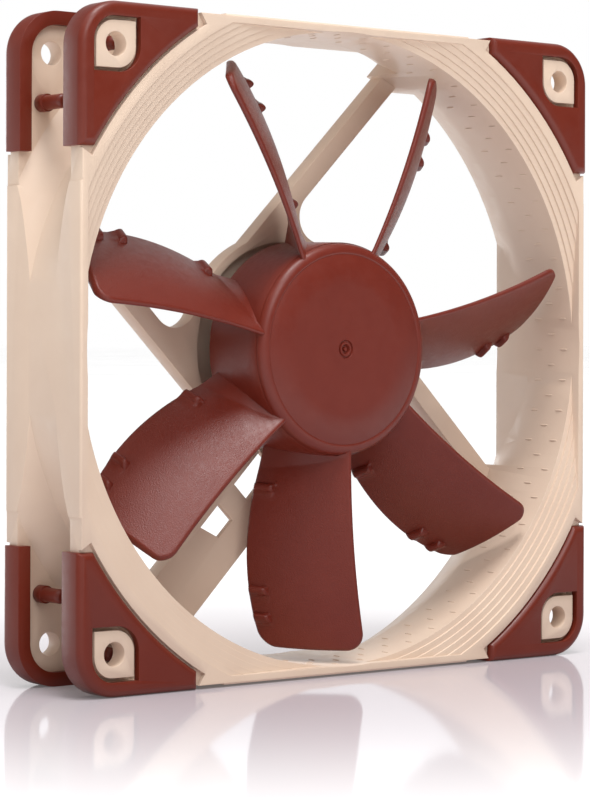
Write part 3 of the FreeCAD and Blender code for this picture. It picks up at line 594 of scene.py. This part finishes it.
def make_hub():
    """Hub as a cup, open at the back, with the gate mark in the middle of its face."""
    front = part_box("shaft")[0][1] - HUB_WALL
    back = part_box("rotor_yoke")[1][1] + HUB_OVERHANG
    inside = front + HUB_WALL
    dot_groove, outer_groove = [ring_groove(front, groove) for groove in GATE_GROOVES]
    profile = [(0, front + GATE_DOT_SINK), (dot_groove[0][0], front + GATE_DOT_SINK)]
    profile += dot_groove[1:] + outer_groove
    profile += [(radius, front) for radius in FACE_RINGS]
    profile += ring_groove(front, RIM_GROOVE)
    profile += arc((HUB_FRONT_RADIUS - HUB_ROUNDING, front + HUB_ROUNDING), HUB_ROUNDING,
                   -90, 0, HUB_FRONT_POINTS)
    slope = (HUB_BACK_RADIUS - HUB_FRONT_RADIUS) / (back - front)
    profile.append((HUB_FRONT_RADIUS + slope * HUB_LIP, front + HUB_LIP))
    for depth in (HUB_STEP_DEPTH,) + SIDE_RINGS:
        profile.append((HUB_FRONT_RADIUS + slope * depth + HUB_STEP, front + depth))
    profile += arc((HUB_BACK_RADIUS - HUB_BACK_INSET, back - HUB_BACK_ROUNDING), HUB_BACK_ROUNDING,
                   0, 90, HUB_BACK_POINTS)
    profile += [(HUB_BORE, back), (HUB_BORE, inside), (0, inside)]
    return turned_mesh("hub", profile, HUB_STEPS)


def make_impeller():
    """Hub and blades in one closed skin."""
    impeller = make_hub()
    blades = make_blades()
    union = impeller.modifiers.new("blades", "BOOLEAN")
    union.operation = "UNION"
    union.solver = "EXACT"
    union.object = blades
    apply_modifiers(impeller)
    bpy.data.objects.remove(blades)
    impeller.name = "impeller_moulding"
    impeller.data.name = "impeller_moulding"
    smooth_by_angle(impeller, IMPELLER_SHARP)
    finish_piece(impeller, "rotor", "impeller_plastic")
    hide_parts("impeller")


make_impeller()


# ---------------------------------------------------------------- duct wall

def dash_mesh():
    """One raised dash: its corners, as (along, rise, sideways), and its faces.

    Each ring across the dash is an arch with two more corners below it, inside the wall.
    """
    corners = []
    faces = []
    for place in spread(-1.0, 1.0, DASH_RINGS):
        swell = math.sqrt(max(0.0, 1 - abs(place) ** DASH_BLUNTNESS))
        along = place * DASH_LENGTH / 2
        half_width = DASH_WIDTH / 2 * max(swell, DASH_TAPER_END)
        for angle in spread(0.0, math.pi, DASH_ARCH_POINTS):
            corners.append((along, math.sin(angle) * DASH_RISE * swell, math.cos(angle) * half_width))
        corners.append((along, -DASH_ROOT, -half_width))
        corners.append((along, -DASH_ROOT, half_width))
    count = DASH_ARCH_POINTS + 2
    for ring in range(DASH_RINGS - 1):
        for step in range(count):
            after = (step + 1) % count
            faces.append((ring * count + step, ring * count + after,
                          (ring + 1) * count + after, (ring + 1) * count + step))
    faces.append(tuple(reversed(range(count))))
    faces.append(tuple((DASH_RINGS - 1) * count + step for step in range(count)))
    return corners, faces


def make_dashes():
    """Three staggered rows of short raised dashes round the duct wall, along the fan's axis."""
    dash, faces = dash_mesh()
    corners = []
    all_faces = []
    pitch = 2 * math.pi / DASH_COUNT
    for row, depth in enumerate(DASH_ROWS):
        for index in range(DASH_COUNT):
            turn = pitch * (index + row % 2 / 2)
            outward = Vector((math.cos(turn), 0, math.sin(turn)))
            sideways = Vector((-math.sin(turn), 0, math.cos(turn)))
            start = len(corners)
            for along, rise, side in dash:
                corners.append(outward * (DUCT_RADIUS - rise) + sideways * side
                               + Vector((0, depth + along, 0)))
            all_faces += [tuple(start + corner for corner in face) for face in faces]
    dashes = mesh_object("duct_dashes", corners, all_faces)
    face_outward(dashes.data)
    smooth_by_angle(dashes, DASH_SHARP)
    finish_piece(dashes, "housing", "frame_plastic")


make_dashes()


# ---------------------------------------------------------------- rounded edges of the mouldings

def make_rounded_copy(node, width, body):
    """A copy of a CAD node's mesh whose sharp edges are rounded off."""
    mesh = frame["nodes"][node].data.copy()
    mesh.name = f"{node}_moulding"
    piece = link(f"{node}_moulding", mesh)
    shape = bmesh.new()
    shape.from_mesh(mesh)
    bmesh.ops.remove_doubles(shape, verts=shape.verts, dist=SLIVER_GAP)
    bmesh.ops.dissolve_limit(shape, angle_limit=math.radians(FLAT_ANGLE), verts=shape.verts,
                             edges=shape.edges)
    shape.to_mesh(mesh)
    shape.free()
    bevel = piece.modifiers.new("edges", "BEVEL")
    bevel.width = width
    bevel.segments = ROUNDING_SEGMENTS
    bevel.limit_method = "ANGLE"
    bevel.angle_limit = math.radians(SHARP_ANGLE)
    bevel.use_clamp_overlap = True
    bevel.miter_outer = "MITER_ARC"
    apply_modifiers(piece)
    smooth_by_angle(piece, SHARP_ANGLE)
    finish_piece(piece, body, SLOT_OF[node])
    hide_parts(node)


make_rounded_copy("frame", FRAME_ROUNDING, "housing")
for node in SLOT_OF:
    if "_pad_" in node:
        make_rounded_copy(node, PAD_ROUNDING, "housing")


# ---------------------------------------------------------------- stage, light and camera

FLOOR_REACH = 60.0
# the darker lilac colour of the floor near the fan is painted shade; the far colour is the plain white
# floor
FLOOR_PAINTED_SHADE = (0.485, 0.43, 0.465, 1.0)
FLOOR_FAR = (0.99, 0.985, 0.99, 1.0)


def make_floor():
    """A wide, glossy floor under the fan, pale lilac and darkened near it as painted shade, and white
    further out.
    """
    height = cad_low[2]
    corners = [(-FLOOR_REACH, -FLOOR_REACH, height), (FLOOR_REACH, -FLOOR_REACH, height),
               (FLOOR_REACH, FLOOR_REACH, height), (-FLOOR_REACH, FLOOR_REACH, height)]
    floor = mesh_object("floor", corners, [(0, 1, 2, 3)])
    material = new_material("floor", FLOOR_FAR, 0.06, IOR=1.16, Emission_Strength=0.08)
    vary_roughness(material, noise_node(material, 400.0), 0.05, 0.08)
    # painted shade: the floor's colour darkens towards the fan
    fade_from_centre(material, FLOOR_PAINTED_SHADE, FLOOR_FAR, 68.0, 195.0)
    floor.data.materials.append(material)


def add_area_light(name, place, size, power):
    """A square light that faces the fan's centre."""
    data = bpy.data.lights.new(name, "AREA")
    data.shape = "SQUARE"
    data.size = size
    data.energy = power
    light = bpy.data.objects.new(name, data)
    light.location = place
    light.rotation_euler = (-Vector(place)).to_track_quat("-Z", "Y").to_euler()
    bpy.context.collection.objects.link(light)


# brighter and dimmer sides of the white studio: the direction, the cosines of the angle from it at
# which the change starts and is full, and the strength there
STUDIO_SIDES = (
    ((0.0, 0.0, 1.0), 0.55, 1.0, 1.35),
    ((-1.0, -0.1, 0.1), 0.5, 1.0, 0.35),
    ((0.62, -0.78, 0.0), -0.1, 0.8, 0.12),
    ((0.0, 0.78, 0.62), 0.74, 0.96, 0.22),
    ((-0.62, 0.78, 0.1), 0.7, 0.97, 0.6),
    ((0.0, 1.0, 0.0), 0.86, 0.98, 4.5),
)


def make_world():
    """A white studio with brighter and dimmer sides. The camera sees it as plain white."""
    world = bpy.data.worlds.new("studio")
    world.use_nodes = True
    tree = world.node_tree
    background = tree.nodes["Background"]
    place = tree.nodes.new("ShaderNodeTexCoord")
    ray = tree.nodes.new("ShaderNodeLightPath")
    shown = tree.nodes.new("ShaderNodeMath")
    shown.operation = "MAXIMUM"
    tree.links.new(ray.outputs["Is Camera Ray"], shown.inputs[1])
    tree.links.new(shown.outputs["Value"], background.inputs["Strength"])
    strength = None
    for direction, start, end, left in STUDIO_SIDES:
        towards = tree.nodes.new("ShaderNodeVectorMath")
        towards.operation = "DOT_PRODUCT"
        towards.inputs[1].default_value = direction
        fall = tree.nodes.new("ShaderNodeMapRange")
        fall.interpolation_type = "SMOOTHSTEP"
        fall.inputs["From Min"].default_value = start
        fall.inputs["From Max"].default_value = end
        fall.inputs["To Min"].default_value = 1.0
        fall.inputs["To Max"].default_value = left
        product = tree.nodes.new("ShaderNodeMath")
        product.operation = "MULTIPLY"
        product.inputs[0].default_value = 1.0
        tree.links.new(place.outputs["Generated"], towards.inputs[0])
        tree.links.new(towards.outputs["Value"], fall.inputs["Value"])
        if strength is not None:
            tree.links.new(strength, product.inputs[0])
        tree.links.new(fall.outputs["Result"], product.inputs[1])
        strength = product.outputs["Value"]
    tree.links.new(strength, shown.inputs[0])
    background.inputs["Color"].default_value = (1.0, 1.0, 1.0, 1.0)
    bpy.context.scene.world = world


def make_lights():
    """Two soft lights: one from the front and above, one from the top."""
    add_area_light("key", (-0.3, -0.95, 0.75), 0.7, 6.2)
    add_area_light("top", (-0.1, -0.3, 1.15), 0.4, 9.0)


CAMERA_PLACE = (-0.312, -0.3917, 0.0011)
# degrees: the camera is level, nearly upright, and turned to the right
CAMERA_ANGLES = (90, -0.17, -38.2)
FOCAL_LENGTH_MM = 120.15
SENSOR_WIDTH_MM = 36.0
HORIZON_SHIFT = -0.0711


def make_camera():
    """The camera, front left of the fan."""
    data = bpy.data.cameras.new("camera")
    data.lens = FOCAL_LENGTH_MM
    data.sensor_width = SENSOR_WIDTH_MM
    data.shift_y = HORIZON_SHIFT
    camera = bpy.data.objects.new("camera", data)
    camera.location = CAMERA_PLACE
    camera.rotation_euler = [math.radians(angle) for angle in CAMERA_ANGLES]
    bpy.context.collection.objects.link(camera)
    bpy.context.scene.camera = camera


make_floor()
make_world()
make_lights()
make_camera()
bpy.context.scene.view_settings.view_transform = "Standard"
